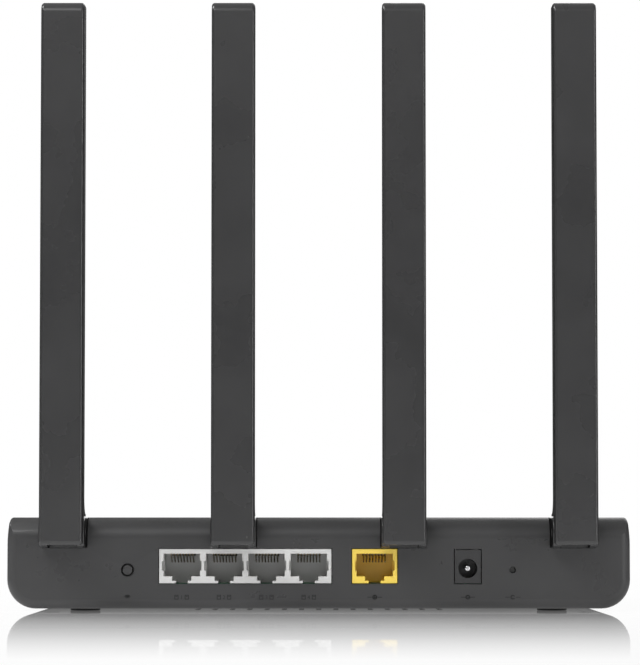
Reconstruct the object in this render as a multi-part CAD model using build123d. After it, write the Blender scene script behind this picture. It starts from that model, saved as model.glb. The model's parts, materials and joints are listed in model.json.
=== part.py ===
from build123d import *
import math
import os

# A wireless router: a flat case with its sockets in the back wall and four paddle antennas that
# stand up behind it and fold down backwards. X runs across, +Y towards the lamp side, +Z up.
# The origin is on the table, under the middle of the whole router with its antennas upright.

os.makedirs("parts", exist_ok=True)

# ---------------------------------------------------------------- case
case_width = 206.0
case_depth = 134.0
foot_drop = 0.9  # the case stands this far above the table
wall = 2.2
lower_corner_r = 9.5  # round of the two long lower edges
side_lean = 0.9  # how far each side curves in towards its top
lean_start = 21.5
back_roll_r = 7.0  # round where the back wall turns into the top
front_roll_r = 3.0
back_corner_r = 3.5
front_corner_r = 6.0
top_edge_r = 1.0

rim = 1.4  # flat border left around the lid
lid_gap = 0.3
lid_back_land = 1.6  # flat strip between the back roll and the lid
lid_front_land = 1.2
lid_corner_r = 3.0
lid_edge_chamfer = 0.4
tongue_width = 10.0
tongue_reach = 2.0  # the back ones, under the roll; the front ones reach the front wall
tongue_thick = 1.5
tongue_drop = 0.4
tongue_root = 4.0

vent_width = 1.8
vent_pitch = 6.0
lid_vent_count = 27
lid_vent_length = 24.0
lid_vent_depth = 20.0  # first edge, from the back wall
floor_vent_count = 15
floor_vent_length = 26.0
floor_vent_rows = (44.0, 84.0)

# ---------------------------------------------------------------- feet and screws
foot_r = 5.0
foot_seat = 1.0
foot_edge_r = 0.4
foot_side_inset = 25.0
foot_end_inset = 14.0

case_screw_side_inset = 13.0
case_screw_end_inset = 22.0
case_screw_r = 1.5
case_screw_hole_r = 1.7
case_screw_head_r = 2.6
case_screw_head = 2.0
case_screw_well_r = 2.9
case_screw_well = 3.0
case_screw_bite = 9.0
boss_r = 3.4
boss_top = 8.0
drive_width = 0.7
drive_length = 2.8
drive_depth = 0.9

board_screw_r = 1.2
board_screw_hole_r = 1.4
board_screw_head_r = 2.3
board_screw_head = 1.5
board_screw_bite = 3.5
board_boss_r = 3.0
board_hole_inset = 5.0

# ---------------------------------------------------------------- circuit board
board_top = 9.3
board_thick = 1.6
board_side_gap = 16.8
board_back_gap = 0.4
board_front_gap = 11.2

# ---------------------------------------------------------------- network sockets
jack_recess = 0.3  # socket faces sit this far inside the back wall
jack_height = 11.3
jack_depth = 21.3
jack_clear = 0.25
lan_ports = 4
lan_centre = -24.2
wan_centre = 18.5
plug_width = 12.0
port_gap = 1.97  # between the plug openings of neighbouring ports
socket_cheek = 1.45  # beside the last plug opening
stack_gap = 0.4  # between the sockets and the antenna roots above them
plug_floor = 2.27  # heights are above the circuit board
plug_ceiling = 9.77
socket_depth = 14.5
side_notch = 0.52
side_notch_low = 4.2
side_notch_high = 7.4
side_notch_depth = 9.0
latch_width = 6.3
latch_floor = 0.8  # the opening narrows to its keyway here
keyway_width = 4.0

contact_count = 8
contact_pitch = 1.02
contact_width = 0.46
contact_thick = 0.3
contact_slot_width = 0.66
contact_slot = 0.6
contact_lift = 0.3  # height of a contact's upper run above the socket ceiling
contact_front = 2.2
contact_nose = 0.3
contact_tip_depth = 9.0
contact_tip_drop = 2.9
contact_foot = 1.35
contact_back_gap = 0.45

# ---------------------------------------------------------------- power inlet
power_centre = 49.2
power_width = 8.6
power_height = 11.0
power_depth = 14.0
power_clear = 0.3
power_axis = 4.9  # above the circuit board
power_bore_r = 3.15
power_bore_depth = 10.5
power_pin_r = 1.0
power_pin_recess = 0.8
power_pin_root = 3.0
power_pin_root_r = 0.75
power_pin_tip_r = 0.5
spring_width = 2.4
spring_thick = 0.3
spring_clear = 0.15
spring_rest = 3.55  # from the bore's axis
spring_lift = 0.6
spring_flat_depth = 6.3  # bends of the strip, from the socket face
spring_crest_depth = 4.2
spring_tip_depth = 1.6

# ---------------------------------------------------------------- push button and reset switch
switch_axis = 4.4  # above the circuit board
button_x = -63.0
button_r = 1.6
button_hole_r = 2.2
button_proud = 0.25
button_flange_r = 3.0
button_flange = 1.0
button_flange_gap = 0.15
button_guide_gap = 0.2
button_guide_wall = 1.2
button_guide_length = 2.6
button_stem_end = 6.6
button_switch_depth = 8.0
button_travel = 0.4
reset_travel = 0.3
reset_x = 64.0
reset_hole_r = 1.1
reset_tip_gap = 0.5
reset_switch_depth = 6.4
reset_plunger_r = 0.9
button_plunger_r = 1.4
switch_width = 6.2
switch_body = 4.0
switch_height = 7.2
plunger_clear = 0.1
plunger_in = 1.0
plunger_spare = 0.8  # hole left beyond a fully pressed plunger

# ---------------------------------------------------------------- parts on the board
transformer = (12.0, 7.0, 5.6)
transformer_depth = 29.0
processor = (19.0, 19.0, 1.3)
processor_depth = 84.0
sink = (38.0, 34.0, 9.0)
sink_base = 2.0
sink_fins = 11
sink_fin_thick = 1.2
memory = (9.0, 13.0, 1.1)
memory_depth = 108.0
memory_half_gap = 9.0
radio = (11.0, 11.0, 0.9)
can = (36.0, 26.0, 3.2)
can_wall = 0.3
can_x = 46.0
can_depth = 88.0
capacitor_r = 3.15
capacitor_height = 8.5
capacitor_places = ((42.0, 30.0), (51.0, 30.0), (42.0, 39.0), (51.0, 39.0))
inductor = (6.6, 6.6, 3.6)
inductor_places = ((61.0, 30.0), (70.0, 30.0), (61.0, 40.0))
crystal = (3.2, 2.5, 0.8)
crystal_places = ((-16.0, 66.0), (16.0, 66.0), (24.5, 100.0))

led = (2.0, 1.2, 1.1)
led_count = 6
led_pitch = 9.0
led_edge = 1.2
guide_gap = 0.4
guide_height = 2.4
guide_lift = 0.3
guide_margin = 4.0
window_width = 4.0
window_height = 1.3
window_clear = 0.1
window_recess = 0.1

# ---------------------------------------------------------------- antennas
antenna_count = 4
antenna_reach = 14.0  # front face of a blade to the back wall
antenna_side_inset = 19.1
blade_width = 14.2
blade_thick = 8.0
blade_top = 200.0
blade_drop = 4.0  # foot of the blade below the hinge
blade_front_wall = 1.5
blade_side_wall = 1.3
blade_top_wall = 1.8
blade_top_r = 3.3
blade_foot_r = 1.3
blade_edge_r = 1.0
cover_thick = 1.3
cover_gap = 0.1
cover_start = 12.5  # above the hinge
cover_edge_r = 0.4

pivot_out = 6.0  # hinge axis to the back wall
cheek_r = 5.0
cheek_edge_r = 0.5
base_overhang = 0.375
base_gap = 0.15
cheek_thick = 2.7
side_gap = 0.2
turn_gap = 0.3
barrel_r = 4.0
web_gap = 0.4
gusset_top = 11.5  # above the hinge
gusset_lip = 0.7
gusset_back_gap = 0.4
ear_reach = 2.4
ear_thick = 1.8
ear_height = 3.4
ear_gap = 0.05
hinge_pin_r = 1.5
hinge_pin_clear = 0.05
hinge_pin_bite = 2.4
hinge_pin_recess = 0.3

radiator_width = 8.6
radiator_thick = 0.8
radiator_start = 58.0  # above the hinge
radiator_length = 98.0
radiator_stand = 1.9
radiator_rib = 1.2

lead_r = 0.7
lead_bore_r = 1.2
lead_overlap = 9.0
lead_touch = 0.02
lead_bend = 14.0  # above the hinge
lead_end = 1.8
lead_high_end = 34.0  # from the back wall
lead_low_start = 54.0
lead_low_end = 64.0
lead_height = 1.5
lead_bend_share = 0.45  # part of a straight run that the arc at its end may take up
plug_depth = 68.0
plug_x = {1: -58.0, 2: -34.0, 3: 34.0, 4: 58.0}
socket_foot = (3.0, 3.0, 0.4)
socket_r = 0.9
socket_height = 1.6
plug_cap_r = 1.7
plug_cap_low = 0.5  # heights are above the circuit board
plug_cap_high = 2.4
plug_bore_r = 0.95
plug_bore_top = 1.75
crimp_r = 0.85

# ---------------------------------------------------------------- places worked out from the sizes
total_depth = case_depth + antenna_reach
front_y = total_depth / 2
back_y = front_y - case_depth
floor_top = foot_drop + wall
case_top = board_top + jack_height + stack_gap + 2 * cheek_r
board_low = board_top - board_thick
board_back = back_y + wall + board_back_gap
board_front = front_y - wall - board_front_gap
board_half_width = case_width / 2 - wall - board_side_gap
port_pitch = plug_width + port_gap
wan_width = plug_width + 2 * socket_cheek
lan_width = (lan_ports - 1) * port_pitch + wan_width
jack_face = back_y + jack_recess
switch_z = board_top + switch_axis
window_z = board_top + guide_lift + guide_height / 2
pivot_y = back_y - pivot_out
pivot_z = case_top - cheek_r
blade_front = pivot_out - antenna_reach  # blade faces, measured from the hinge axis
blade_back = blade_front + blade_thick
blade_head = blade_top - pivot_z
base_width = blade_width + 2 * base_overhang
neck_width = base_width - 2 * (cheek_thick + side_gap)
antenna_pitch = (case_width - 2 * antenna_side_inset) / (antenna_count - 1)
antenna_x = {n + 1: (n - (antenna_count - 1) / 2) * antenna_pitch for n in range(antenna_count)}
lid_half = case_width / 2 - side_lean - rim
lid_back = back_y + back_roll_r + lid_back_land
lid_front = front_y - front_roll_r - lid_front_land
ceiling = case_top - wall
big = 400.0  # longer than anything in the router, for open cuts
past = 1.0  # how far a short cut runs past the face it opens


# ---------------------------------------------------------------- small helpers
def about(centre, half):
    """The two ends of a span around a centre."""
    return (centre - half, centre + half)


def block(x, y, z):
    """Box between two values on each axis."""
    centre = [(a + b) / 2 for a, b in (x, y, z)]
    size = [b - a for a, b in (x, y, z)]
    return Pos(*centre) * Box(*size)


def rod(start, direction, length, radius):
    """Cylinder from a point along a direction."""
    place = Plane(origin=start, z_dir=direction)
    return place * Cylinder(radius, length, align=(Align.CENTER, Align.CENTER, Align.MIN))


def along_y(profile, y):
    """Prism of a profile drawn in (x, z), between two y values."""
    return Pos(0, y[0], 0) * extrude(Plane.XZ * profile, amount=y[1] - y[0], dir=(0, 1, 0))


def along_x(profile, x):
    """Prism of a profile drawn in (y, z), between two x values."""
    return Pos(x[0], 0, 0) * extrude(Plane.YZ * profile, amount=x[1] - x[0], dir=(1, 0, 0))


def strip(points, thickness):
    """Outline of a bent strip whose middle line runs through the points."""
    path = [Vector(*p) for p in points]
    steps = [(b - a).normalized() for a, b in zip(path, path[1:])]
    left = []
    right = []
    for at, before, after in zip(path, steps[:1] + steps, steps + steps[-1:]):
        middle = (before + after).normalized()
        across = Vector(-middle.Y, middle.X) * (thickness / 2 / middle.dot(before))
        left.append(at + across)
        right.append(at - across)
    return Polygon(*[(p.X, p.Y) for p in left + right[::-1]], align=None)


def lead(points):
    """Coaxial lead along straight runs joined by arcs as large as the runs allow."""
    path = [Vector(*p) for p in points]
    runs = [b - a for a, b in zip(path, path[1:])]
    radii = []
    for before, after in zip(runs, runs[1:]):
        half_turn = math.radians(before.get_angle(after)) / 2
        radii.append(lead_bend_share * min(before.length, after.length) / math.tan(half_turn))
    route = FilletPolyline(*path, radius=radii)
    print("lead: radii", [round(r, 1) for r in radii], "length", round(route.length, 1))
    return sweep(Plane(origin=route @ 0, z_dir=route % 0) * Circle(lead_r), path=route)


def join(solids):
    """Several separate pieces kept in one node."""
    return Compound([s for shape in solids for s in shape.solids()])


def on_board(size, x, depth):
    """A flat component standing on the circuit board."""
    return block(
        about(x, size[0] / 2), about(back_y + depth, size[1] / 2), (board_top, board_top + size[2])
    )


# ---------------------------------------------------------------- case
def case_profile(inset):
    """Cross-section of the case seen from the back, moved in all round by an inset."""
    half = case_width / 2 - inset
    low = foot_drop + inset
    high = case_top - inset
    corner = lower_corner_r - inset
    edge = Curve() + [
        Line((0, low), (half - corner, low)),
        CenterArc((half - corner, low + corner), corner, -90, 90),
        Line((half, low + corner), (half, lean_start)),
        TangentArc((half, lean_start), (half - side_lean, high), tangent=(0, 1)),
        Line((half - side_lean, high), (0, high)),
    ]
    return make_face(edge + mirror(edge, about=Plane.YZ))


def end_edges(body, end, top):
    """The edges around the back (end 0) or front (end -1) face: the top one, or all others."""
    edges = body.faces().sort_by(Axis.Y)[end].edges().sort_by(Axis.Z)
    return edges[-1:] if top else edges[:-1]


def case_outside():
    """The closed outer shape: rounded ends crossed with a rolled top."""
    slab = along_y(case_profile(0), (back_y, front_y))
    ends = fillet(end_edges(slab, 0, top=False), back_corner_r)
    ends = fillet(end_edges(ends, -1, top=False), front_corner_r)
    rolled = fillet(end_edges(slab, 0, top=True), back_roll_r)
    rolled = fillet(end_edges(rolled, -1, top=True), front_roll_r)
    sides = rolled.faces().sort_by(Axis.Z)[-1].edges().filter_by(Axis.Y)
    rolled = fillet(sides, top_edge_r)
    return ends & rolled


def case_inside():
    """The hollow of the case, a wall's thickness inside the outer shape."""
    hollow = along_y(case_profile(wall), (back_y + wall, front_y - wall))
    return fillet(end_edges(hollow, 0, top=True), back_roll_r - wall)


def lid_footprint(gap):
    """Rounded rectangle of the lid, or with no gap the opening that it drops into."""
    width = 2 * (lid_half - gap)
    depth = lid_front - lid_back - 2 * gap
    outline = RectangleRounded(width, depth, lid_corner_r - gap)
    return Pos(0, (lid_front + lid_back) / 2, 0) * outline


def case_screw_places():
    x = case_width / 2 - case_screw_side_inset
    ends = (back_y + case_screw_end_inset, front_y - case_screw_end_inset)
    return [(side * x, y) for side in (-1, 1) for y in ends]


def foot_places():
    x = case_width / 2 - foot_side_inset
    ends = (back_y + foot_end_inset, front_y - foot_end_inset)
    return [(side * x, y) for side in (-1, 1) for y in ends]


def board_screw_places():
    x = board_half_width - board_hole_inset
    ends = (board_back + board_hole_inset, board_front - board_hole_inset)
    return [(side * x, y) for side in (-1, 1) for y in ends]


def vent_slots(count, start, length, z):
    """A row of rounded slots across the middle."""
    slot = Pos(0, start + length / 2, z[0]) * extrude(
        SlotOverall(length, vent_width, rotation=90), amount=z[1] - z[0]
    )
    middle = (count - 1) / 2
    return [Pos((i - middle) * vent_pitch, 0, 0) * slot for i in range(count)]


def window_places():
    middle = (led_count - 1) / 2
    return [(i - middle) * led_pitch for i in range(led_count)]


def base_tub():
    """Floor and four walls in one moulding, with every opening and boss in it."""
    tub = case_outside() - case_inside()
    tub -= Pos(0, 0, ceiling) * extrude(lid_footprint(0), amount=wall * 2)

    for x, y in case_screw_places():
        tub += rod((x, y, foot_drop + wall / 2), (0, 0, 1), boss_top - foot_drop - wall / 2, boss_r)
    for x, y in board_screw_places():
        tub += rod((x, y, foot_drop + wall / 2), (0, 0, 1), board_low - foot_drop - wall / 2, board_boss_r)
    guide = rod((button_x, back_y + wall / 2, switch_z), (0, 1, 0),
                wall / 2 + button_guide_length, button_flange_r + button_guide_gap + button_guide_wall)
    guide -= rod((button_x, back_y + wall, switch_z), (0, 1, 0),
                 button_guide_length, button_flange_r + button_guide_gap)
    tub += guide

    cuts = []
    for x, y in case_screw_places():
        cuts.append(rod((x, y, 0), (0, 0, 1), boss_top * 2, case_screw_hole_r))
        cuts.append(rod((x, y, 0), (0, 0, 1), foot_drop + case_screw_well, case_screw_well_r))
    for x, y in board_screw_places():
        cuts.append(rod((x, y, board_low - board_screw_bite), (0, 0, 1), board_screw_bite, board_screw_r))
    for x, y in foot_places():
        cuts.append(rod((x, y, 0), (0, 0, 1), foot_drop + foot_seat, foot_r))
    for row in floor_vent_rows:
        cuts += vent_slots(floor_vent_count, back_y + row, floor_vent_length, (0, floor_top + wall))

    through_wall = (back_y - wall, back_y + wall)
    jack_z = (board_top - jack_clear, board_top + jack_height + jack_clear)
    cuts.append(block(about(lan_centre, lan_width / 2 + jack_clear), through_wall, jack_z))
    cuts.append(block(about(wan_centre, wan_width / 2 + jack_clear), through_wall, jack_z))
    power_z = (board_top - power_clear, board_top + power_height + power_clear)
    cuts.append(block(about(power_centre, power_width / 2 + power_clear), through_wall, power_z))
    cuts.append(rod((button_x, back_y - wall, switch_z), (0, 1, 0), wall * 2, button_hole_r))
    cuts.append(rod((reset_x, back_y - wall, switch_z), (0, 1, 0), wall * 2, reset_hole_r))

    for x in antenna_x.values():
        cuts.append(block(about(x, base_width / 2 + base_gap),
                          (back_y - wall, back_y + back_roll_r + base_gap),
                          (pivot_z - cheek_r - base_gap, case_top + wall)))
    for x in window_places():
        cuts.append(block(about(x, window_width / 2 + window_clear),
                          (front_y - wall * 2, front_y + wall),
                          about(window_z, window_height / 2 + window_clear)))
    return tub - cuts


def top_cover():
    """Lid with its vents, the tongues that slip under the tub's rim and four screw bosses."""
    lid = Pos(0, 0, ceiling) * extrude(lid_footprint(lid_gap), amount=wall)
    lid = chamfer(lid.faces().sort_by(Axis.Z)[-1].edges(), lid_edge_chamfer)

    tongue_z = (ceiling - tongue_drop - tongue_thick, ceiling - tongue_drop)
    root_z = (ceiling - tongue_drop - tongue_thick, ceiling + wall / 2)
    for x in [i * antenna_pitch for i in (-1, 0, 1)]:
        for edge, inward, tip in ((lid_back, 1, lid_back - tongue_reach), (lid_front, -1, front_y - wall)):
            heel = edge + inward * tongue_root
            start = edge + inward * lid_gap * 2
            lid += block(about(x, tongue_width / 2), sorted((tip, heel)), tongue_z)
            lid += block(about(x, tongue_width / 2), sorted((start, heel)), root_z)
    for x, y in case_screw_places():
        lid += rod((x, y, boss_top), (0, 0, 1), ceiling + wall / 2 - boss_top, boss_r)
    cuts = [rod((x, y, boss_top), (0, 0, 1), case_screw_bite, case_screw_r) for x, y in case_screw_places()]
    through_lid = (ceiling - wall, case_top + wall)
    cuts += vent_slots(lid_vent_count, back_y + lid_vent_depth, lid_vent_length, through_lid)
    return lid - cuts


def rubber_feet():
    foot = Cylinder(foot_r, foot_drop + foot_seat, align=(Align.CENTER, Align.CENTER, Align.MIN))
    foot = fillet(foot.edges().sort_by(Axis.Z)[:1], foot_edge_r)
    return join(Pos(x, y, 0) * foot for x, y in foot_places())


def screw(head_r, head, shank_r, shank):
    """Cross-head screw standing on its head, which rests at z = 0 with its shank upwards."""
    body = Pos(0, 0, -head / 2) * Cylinder(head_r, head)
    body = chamfer(body.edges().sort_by(Axis.Z)[:1], head / 4)
    body += rod((0, 0, -head / 2), (0, 0, 1), head / 2 + shank, shank_r)
    recess = (-head - past, -head + drive_depth)
    cross = block(about(0, drive_length / 2), about(0, drive_width / 2), recess)
    cross += block(about(0, drive_width / 2), about(0, drive_length / 2), recess)
    return body - cross


def case_screws():
    seat = foot_drop + case_screw_well
    piece = screw(case_screw_head_r, case_screw_head, case_screw_r, boss_top + case_screw_bite - seat)
    return join(Pos(x, y, seat) * piece for x, y in case_screw_places())


def board_screws():
    piece = Rot(180, 0, 0) * screw(
        board_screw_head_r, board_screw_head, board_screw_r, board_thick + board_screw_bite
    )
    return join(Pos(x, y, board_top) * piece for x, y in board_screw_places())


# ---------------------------------------------------------------- circuit board and its parts
def circuit_board():
    board = block(about(0, board_half_width), (board_back, board_front), (board_low, board_top))
    holes = [rod((x, y, 0), (0, 0, 1), board_top * 2, board_screw_hole_r) for x, y in board_screw_places()]
    return board - holes


def port_places():
    """Centres of the four network ports in the shared block."""
    middle = (lan_ports - 1) / 2
    return [lan_centre + (i - middle) * port_pitch for i in range(lan_ports)]


def contact_places(x):
    middle = (contact_count - 1) / 2
    return [x + (i - middle) * contact_pitch for i in range(contact_count)]


def jack(centre, width, ports):
    """Moulded block with a row of eight-way sockets, latch side down."""
    back = jack_face + jack_depth
    body = block(about(centre, width / 2), (jack_face, back), (board_top, board_top + jack_height))
    inside = (jack_face - past, jack_face + socket_depth)
    latch = [
        (-latch_width / 2, plug_floor + past),
        (-latch_width / 2, latch_floor),
        (-keyway_width / 2, latch_floor),
        (-keyway_width / 2, -past),
    ]
    latch += [(-across, height) for across, height in latch[::-1]]
    cuts = []
    for x in ports:
        cuts.append(block(about(x, plug_width / 2), inside,
                          (board_top + plug_floor, board_top + plug_ceiling)))
        cuts.append(block(about(x, plug_width / 2 + side_notch),
                          (jack_face - past, jack_face + side_notch_depth),
                          (board_top + side_notch_low, board_top + side_notch_high)))
        cuts.append(Pos(x, 0, board_top) * along_y(Polygon(*latch, align=None), inside))
        for slot_x in contact_places(x):
            cuts.append(block(about(slot_x, contact_slot_width / 2),
                              (jack_face + contact_front / 2, back + past),
                              (board_top + plug_ceiling - past, board_top + plug_ceiling + contact_slot)))
    return body - cuts


def contacts(ports):
    """Bent spring contacts: a foot on the board, a rise, a run forwards and a sprung finger."""
    run = board_top + plug_ceiling + contact_lift
    foot = board_top + contact_thick / 2
    rise = jack_face + jack_depth + contact_back_gap
    front = jack_face + contact_front
    tip = (jack_face + contact_tip_depth, board_top + plug_ceiling - contact_tip_drop)
    nose = (front - contact_nose, run - 2 * contact_nose)
    outline = strip([(rise + contact_foot, foot), (rise, foot), (rise, run), (front, run), nose, tip],
                    contact_thick)
    piece = along_x(outline, about(0, contact_width / 2))
    return join(Pos(x, 0, 0) * piece for port in ports for x in contact_places(port))


def power_jack():
    """Moulded inlet with a round bore for the plug's barrel."""
    axis_z = board_top + power_axis
    body = block(about(power_centre, power_width / 2), (jack_face, jack_face + power_depth),
                 (board_top, board_top + power_height))
    body -= rod((power_centre, jack_face, axis_z), (0, 1, 0), power_bore_depth, power_bore_r)
    body -= rod((power_centre, jack_face + power_bore_depth, axis_z), (0, 1, 0),
                power_pin_root, power_pin_root_r)
    slot_low = axis_z - spring_rest - spring_thick / 2 - spring_clear
    body -= block(about(power_centre, spring_width / 2 + spring_clear),
                  (jack_face + power_pin_recess, jack_face + power_depth + past),
                  (slot_low, axis_z - power_bore_r + spring_thick))
    return body


def power_pin():
    """Centre contact with a round tip and a thinner root held in the block."""
    axis_z = board_top + power_axis
    pin = rod((power_centre, jack_face + power_pin_recess, axis_z), (0, 1, 0),
              power_bore_depth - power_pin_recess, power_pin_r)
    pin = fillet(pin.edges().sort_by(Axis.Y)[:1], power_pin_tip_r)
    return pin + rod((power_centre, jack_face + power_bore_depth, axis_z), (0, 1, 0),
                     power_pin_root, power_pin_root_r)


def power_spring():
    """Sprung strip that presses on the outside of the plug's barrel."""
    low = board_top + power_axis - spring_rest
    path = [
        (jack_face + power_depth, low),
        (jack_face + spring_flat_depth, low),
        (jack_face + spring_crest_depth, low + spring_lift),
        (jack_face + spring_tip_depth, low),
    ]
    return along_x(strip(path, spring_thick), about(power_centre, spring_width / 2))


def side_switch(x, depth, plunger_r, travel):
    """Push switch on the board with a blind hole for its plunger."""
    face = back_y + depth
    room = plunger_in + travel + plunger_spare
    body = block(about(x, switch_width / 2), (face, face + switch_body),
                 (board_top, board_top + switch_height))
    return body - rod((x, face, switch_z), (0, 1, 0), room, plunger_r + plunger_clear)


def wps_button():
    """Round cap with a collar behind the wall and a stem that reaches the switch."""
    cap = rod((button_x, back_y - button_proud, switch_z), (0, 1, 0),
              button_proud + button_stem_end, button_r)
    cap += rod((button_x, back_y + wall + button_flange_gap, switch_z), (0, 1, 0),
               button_flange, button_flange_r)
    return fillet(cap.edges().sort_by(Axis.Y)[:1], button_proud)


def wps_plunger():
    start = back_y + button_stem_end
    end = back_y + button_switch_depth + plunger_in
    return rod((button_x, start, switch_z), (0, 1, 0), end - start, button_plunger_r)


def reset_plunger():
    start = back_y + wall + reset_tip_gap
    end = back_y + reset_switch_depth + plunger_in
    return rod((reset_x, start, switch_z), (0, 1, 0), end - start, reset_plunger_r)


def heat_sink():
    low = board_top + processor[2]
    y = back_y + processor_depth
    body = block(about(0, sink[0] / 2), about(y, sink[1] / 2), (low, low + sink_base))
    step = (sink[0] - sink_fin_thick) / (sink_fins - 1)
    for i in range(sink_fins):
        x = i * step - (sink[0] - sink_fin_thick) / 2
        body += block(about(x, sink_fin_thick / 2), about(y, sink[1] / 2), (low, low + sink[2]))
    return body


def shield_can(x):
    """Open-bottomed metal cover over a radio chip."""
    hollow = (can[0] - 2 * can_wall, can[1] - 2 * can_wall, can[2] - can_wall)
    return on_board(can, x, can_depth) - on_board(hollow, x, can_depth)


def capacitors():
    return join(rod((x, back_y + depth, board_top), (0, 0, 1), capacitor_height, capacitor_r)
                for x, depth in capacitor_places)


def status_leds():
    y = board_front - led_edge
    return join(block(about(x, led[0] / 2), about(y, led[1] / 2), (board_top, board_top + led[2]))
                for x in window_places())


def light_guide():
    """Clear bar in front of the lamps, with one nose for each window in the front wall."""
    half = (led_count - 1) * led_pitch / 2 + guide_margin
    low = board_top + guide_lift
    bar = block(about(0, half), (board_front + guide_gap, front_y - wall - guide_gap),
                (low, low + guide_height))
    for x in window_places():
        bar += block(about(x, window_width / 2), (front_y - wall - 2 * guide_gap, front_y - window_recess),
                     about(window_z, window_height / 2))
    return bar


# ---------------------------------------------------------------- antenna, drawn around its hinge axis
def blade_outside():
    """The paddle as a solid bar with its rounded edges."""
    bar = block(about(0, blade_width / 2), (blade_front, blade_back), (-blade_drop, blade_head))
    across = bar.edges().filter_by(Axis.X).sort_by(Axis.Y)[:2].sort_by(Axis.Z)
    bar = fillet(across[-1:], blade_top_r)
    across = bar.edges().filter_by(Axis.X).sort_by(Axis.Z)[:2].sort_by(Axis.Y)
    bar = fillet(across[:1], blade_foot_r)
    return fillet(bar.faces().sort_by(Axis.Y)[0].edges().filter_by(Axis.Z), blade_edge_r)


def hinge_sweep():
    """Room that the blade leaves for the base's cheeks while it folds down."""
    r = cheek_r + turn_gap
    room = rod((-big, 0, 0), (1, 0, 0), 2 * big, r)
    room += block((-big, big), (-r, big), (-big, 0))
    room += block((-big, big), (0, big), (-big, r))
    return room


def gusset():
    """Thick root behind the blade that curves out over the base."""
    r = cheek_r + turn_gap
    out = pivot_out - gusset_back_gap
    outline = Curve() + [
        Line((blade_front / 2, gusset_top), (blade_back, gusset_top)),
        TangentArc((blade_back, gusset_top), (out, r + gusset_lip), tangent=(0, -1)),
        Line((out, r + gusset_lip), (out, 0)),
        Line((out, 0), (blade_front / 2, 0)),
        Line((blade_front / 2, 0), (blade_front / 2, gusset_top)),
    ]
    return along_x(make_face(outline), about(0, blade_width / 2))


def upper_lead_path():
    """Middle line of the lead inside the blade, in (y, z) from the hinge axis."""
    y = blade_front + blade_front_wall + radiator_stand + radiator_thick + lead_r + lead_touch
    return [(y, radiator_start + lead_overlap), (y, lead_bend), (0, lead_end)]


def antenna_front_shell():
    """Front, sides and top of the blade with its foot, neck and hinge barrel."""
    shell = blade_outside() + gusset() - hinge_sweep()
    neck = rod((-neck_width / 2, 0, 0), (1, 0, 0), neck_width, barrel_r)
    reach = cheek_r + turn_gap + blade_foot_r
    neck += block(about(0, neck_width / 2), (-reach, barrel_r), (0, reach))
    neck += block(about(0, neck_width / 2), (-reach, 0), (-blade_drop, 0))
    shell += neck

    inner = blade_width / 2 - blade_side_wall
    hollow = (cover_start, blade_head - blade_top_wall)
    shell -= block(about(0, inner), (blade_front + blade_front_wall, big), hollow)
    channel = strip(upper_lead_path()[:2] + [(0, 0)], 2 * lead_bore_r)
    shell -= along_x(channel, about(0, lead_bore_r))
    shell -= block(about(0, lead_bore_r), (-lead_bore_r, big), (-big, lead_bore_r))
    for side in (-1, 1):
        end = side * neck_width / 2
        shell -= rod((end, 0, 0), (-side, 0, 0), hinge_pin_bite + side_gap, hinge_pin_r + hinge_pin_clear)
    for z in (radiator_start + lead_overlap * 2, radiator_start + radiator_length - lead_overlap):
        shell += block(about(0, inner), about(blade_front + blade_front_wall + radiator_stand / 2,
                                              radiator_stand / 2), about(z, radiator_rib / 2))
    return shell


def antenna_back_cover():
    half = blade_width / 2 - blade_side_wall - cover_gap
    plate = block(about(0, half), (blade_back - cover_thick, blade_back),
                  (cover_start + cover_gap, blade_head - blade_top_wall - cover_gap))
    return fillet(plate.faces().sort_by(Axis.Y)[-1].edges(), cover_edge_r)


def antenna_radiator():
    y = blade_front + blade_front_wall + radiator_stand
    return block(about(0, radiator_width / 2), (y, y + radiator_thick),
                 (radiator_start, radiator_start + radiator_length))


def antenna_base():
    """Two cheeks that hold the barrel, on a root that fills a notch in the case."""
    half = base_width / 2
    body = rod((-half, 0, 0), (1, 0, 0), base_width, cheek_r)
    root = pivot_out + back_roll_r
    body += block(about(0, half), (0, root), about(0, cheek_r))
    body = fillet(body.edges().filter_by(GeomType.CIRCLE), cheek_edge_r)
    body -= block(about(0, neck_width / 2 + side_gap), (-big, barrel_r + web_gap), (-big, big))
    ear_y = pivot_out + wall + ear_gap
    body += block(about(0, half + ear_reach), (ear_y, ear_y + ear_thick), (-cheek_r, ear_height - cheek_r))
    body -= rod((0, 0, 0), (0, 1, 0), root + wall, lead_bore_r)
    return body - rod((-big, 0, 0), (1, 0, 0), 2 * big, hinge_pin_r)


def antenna_pins():
    """Two short pins, tight in the cheeks and free in the barrel."""
    inner = neck_width / 2 - hinge_pin_bite
    outer = base_width / 2 - hinge_pin_recess
    return join(rod((side * inner, 0, 0), (side, 0, 0), outer - inner, hinge_pin_r) for side in (-1, 1))


def antenna_lower_lead(number):
    """Lead from the hinge through the base and down to its plug on the board."""
    x = antenna_x[number]
    low = board_top + lead_height
    return lead([
        (x, pivot_y + lead_end, pivot_z),
        (x, back_y + lead_high_end, pivot_z),
        (plug_x[number], back_y + lead_low_start, low),
        (plug_x[number], back_y + lead_low_end, low),
    ])


def coax_sockets():
    pieces = []
    for x in plug_x.values():
        post = rod((x, back_y + plug_depth, board_top), (0, 0, 1), socket_height, socket_r)
        pieces.append(on_board(socket_foot, x, plug_depth) + post)
    return join(pieces)


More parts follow.
